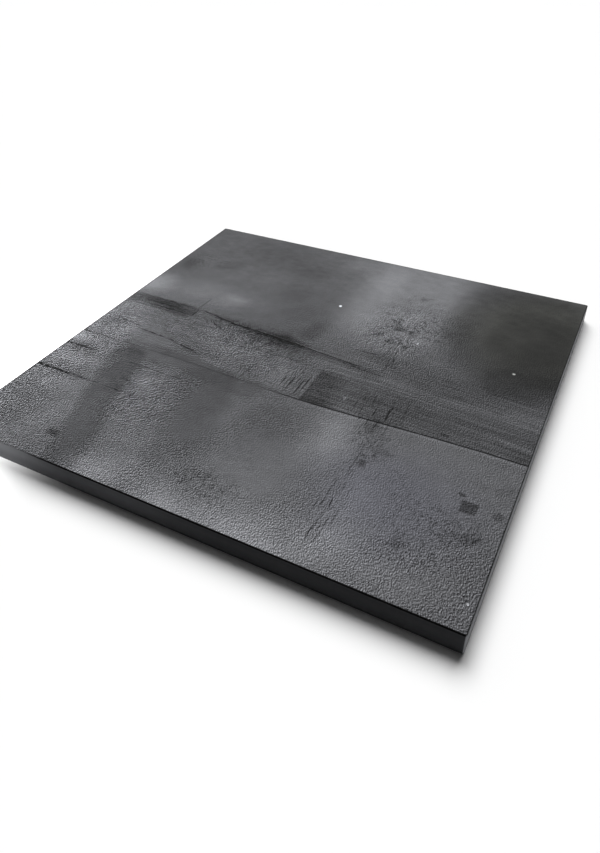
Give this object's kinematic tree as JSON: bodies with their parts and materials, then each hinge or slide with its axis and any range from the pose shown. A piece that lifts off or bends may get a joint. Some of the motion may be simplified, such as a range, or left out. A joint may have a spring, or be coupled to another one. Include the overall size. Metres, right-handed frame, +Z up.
{
  "type": "steel plate",
  "caption": "Square plate of thick hot-rolled steel with dark mill scale on its faces and square-cut edges, used as stock or as a base plate.",
  "frame": {"origin": "centre of the bottom face, which rests on the floor", "axes": "+X along the front edge to the right, +Y from the front edge to the back edge, +Z up through the thickness"},
  "size_m": [0.3048, 0.3048, 0.0127],
  "materials": {
    "mill_scale_steel": "dark grey mill scale, semi-matte, finely pebbled"
  },
  "bodies": {
    "root": {"steel_plate": "mill_scale_steel"}
  },
  "joints": []
}
